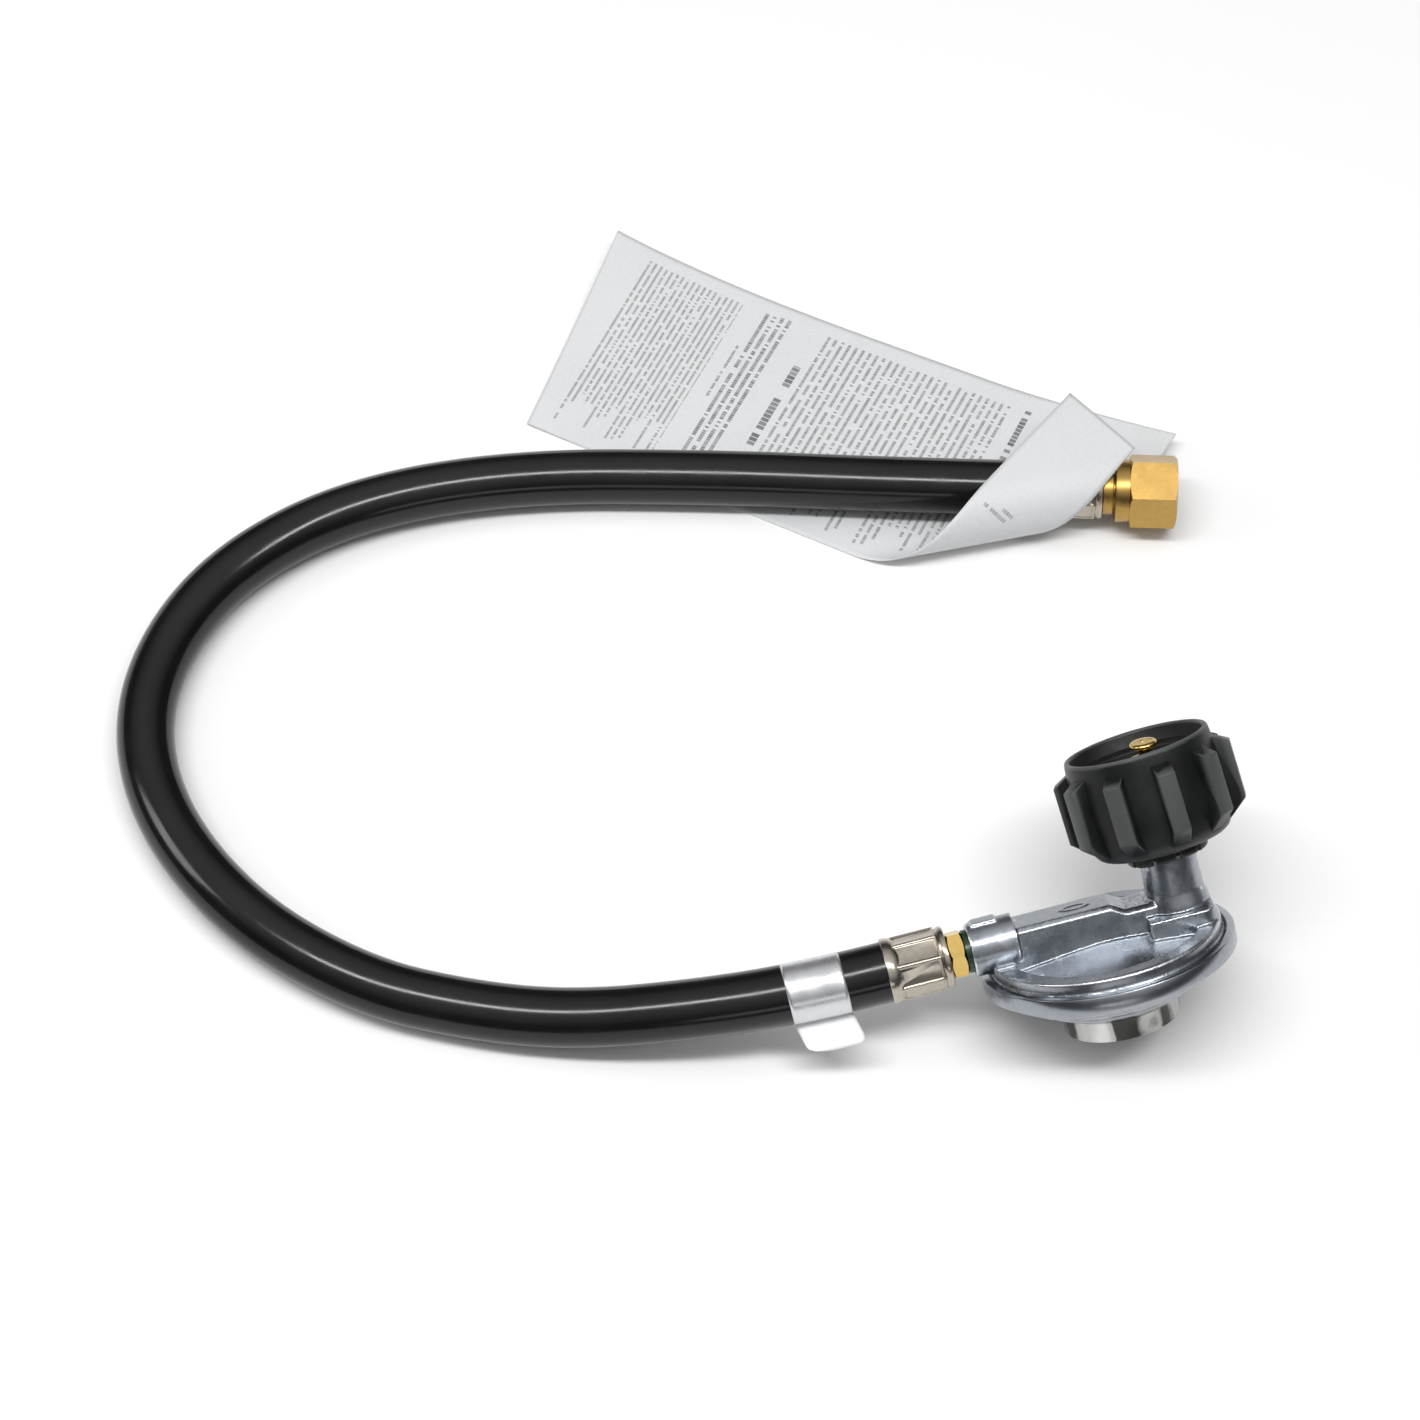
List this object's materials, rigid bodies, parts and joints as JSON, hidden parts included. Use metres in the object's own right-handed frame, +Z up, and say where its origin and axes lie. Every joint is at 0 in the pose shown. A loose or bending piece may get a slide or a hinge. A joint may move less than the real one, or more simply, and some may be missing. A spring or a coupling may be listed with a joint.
{
  "type": "propane regulator hose",
  "caption": "Low-pressure propane regulator with a ribbed handwheel inlet nut, a crimped black rubber hose and a brass swivel flare nut, with its leaflet.",
  "frame": {"origin": "on the surface it lies on, under the middle of the regulator with its ferrule, without the hose, far fitting and papers", "axes": "+Z up, +X along the longest side of the regulator with its ferrule, away from the hose outlet"},
  "size_m": [0.3021, 0.2867, 0.0781],
  "materials": {
    "zinc": "die-cast zinc, satin",
    "bonnet_zinc": "die-cast zinc, machined bright",
    "diaphragm_rubber": "moulded nitrile",
    "plated_steel": "zinc plated",
    "spring_steel": "drawn wire",
    "brass": "turned",
    "nut_brass": "turned, slightly dulled",
    "cap_plastic": "moulded",
    "wheel_plastic": "moulded, fine grain",
    "bushing_plastic": "moulded",
    "sealant": "dried thread sealant",
    "ferrule_steel": "nickel plated, crimped",
    "hose_rubber": "smooth extruded cover",
    "label_film": "silver film",
    "leaflet_paper": "printed leaflet",
    "seat_rubber": "moulded"
  },
  "bodies": {
    "root": {"regulator_body": "zinc", "bonnet": "bonnet_zinc", "closing_cap": "cap_plastic", "vent_screen": "plated_steel", "lever_pin": "plated_steel", "orifice": "brass", "inlet_nipple": "brass", "poppet_retainer": "brass", "thread_sealant": "sealant", "hose_insert": "brass", "near_ferrule": "ferrule_steel", "hose": "hose_rubber", "hose_label": "label_film", "far_ferrule": "ferrule_steel", "flare_insert": "nut_brass", "leaflet": "leaflet_paper"},
    "diaphragm_unit": {"diaphragm": "diaphragm_rubber", "diaphragm_plate": "plated_steel", "relief_stem": "brass", "relief_spring": "spring_steel", "relief_spring_nut": "plated_steel", "main_spring": "spring_steel"},
    "lever_unit": {"lever": "plated_steel", "seat_disc": "seat_rubber"},
    "spring_seat": {"spring_washer": "plated_steel"},
    "adjuster": {"adjusting_plug": "brass"},
    "poppet": {"probe_poppet": "brass", "poppet_spring": "spring_steel"},
    "bushing_unit": {"thermal_bushing": "bushing_plastic", "thrust_washer": "plated_steel"},
    "handwheel": {"handwheel_nut": "wheel_plastic"},
    "swivel_nut": {"flare_nut": "nut_brass"}
  },
  "joints": [
    {"name": "handwheel_slide", "type": "slide", "parent": "root", "child": "bushing_unit", "axis": [-0.234, 0.6259, 0.744], "range_m": [0, 0.0009]},
    {"name": "handwheel_spin", "type": "hinge", "parent": "bushing_unit", "child": "handwheel", "pos_m": [0.02613, 0.00871, 0.04716], "axis": [-0.3014, 0.716, 0.6297], "continuous": true},
    {"name": "probe_push", "type": "slide", "parent": "root", "child": "poppet", "axis": [0.234, -0.6259, -0.744], "range_m": [0, 0.002], "stiffness_N_per_m": 400, "deforming": ["poppet_spring"]},
    {"name": "diaphragm_travel", "type": "slide", "parent": "root", "child": "diaphragm_unit", "axis": [0.234, -0.6259, -0.744], "range_m": [0, 0.0024], "stiffness_N_per_m": 1500, "deforming": ["diaphragm", "main_spring"]},
    {"name": "lever_swing", "type": "hinge", "parent": "root", "child": "lever_unit", "pos_m": [0.02586, -0.00712, 0.02907], "axis": [0.077, -0.7509, 0.6559], "range_deg": [0, 9.78]},
    {"name": "adjuster_advance", "type": "slide", "parent": "root", "child": "spring_seat", "axis": [-0.234, 0.6259, 0.744], "range_m": [-0.0005, 0.0007], "deforming": ["main_spring"]},
    {"name": "adjuster_turn", "type": "hinge", "parent": "spring_seat", "child": "adjuster", "pos_m": [0.01588, -0.02107, 0.01427], "axis": [-0.234, 0.6259, 0.744], "range_deg": [-145, 202.6]},
    {"name": "flare_nut_spin", "type": "hinge", "parent": "root", "child": "swivel_nut", "pos_m": [0.03383, 0.14531, 0.01195], "axis": [0.9973, -0.0622, 0.0386], "continuous": true}
  ],
  "couplings": [
    {"joint": "lever_swing", "follows": "diaphragm_travel", "rad_per_m": 68.966},
    {"joint": "adjuster_turn", "follows": "adjuster_advance", "rad_per_m": 5026.5}
  ]
}
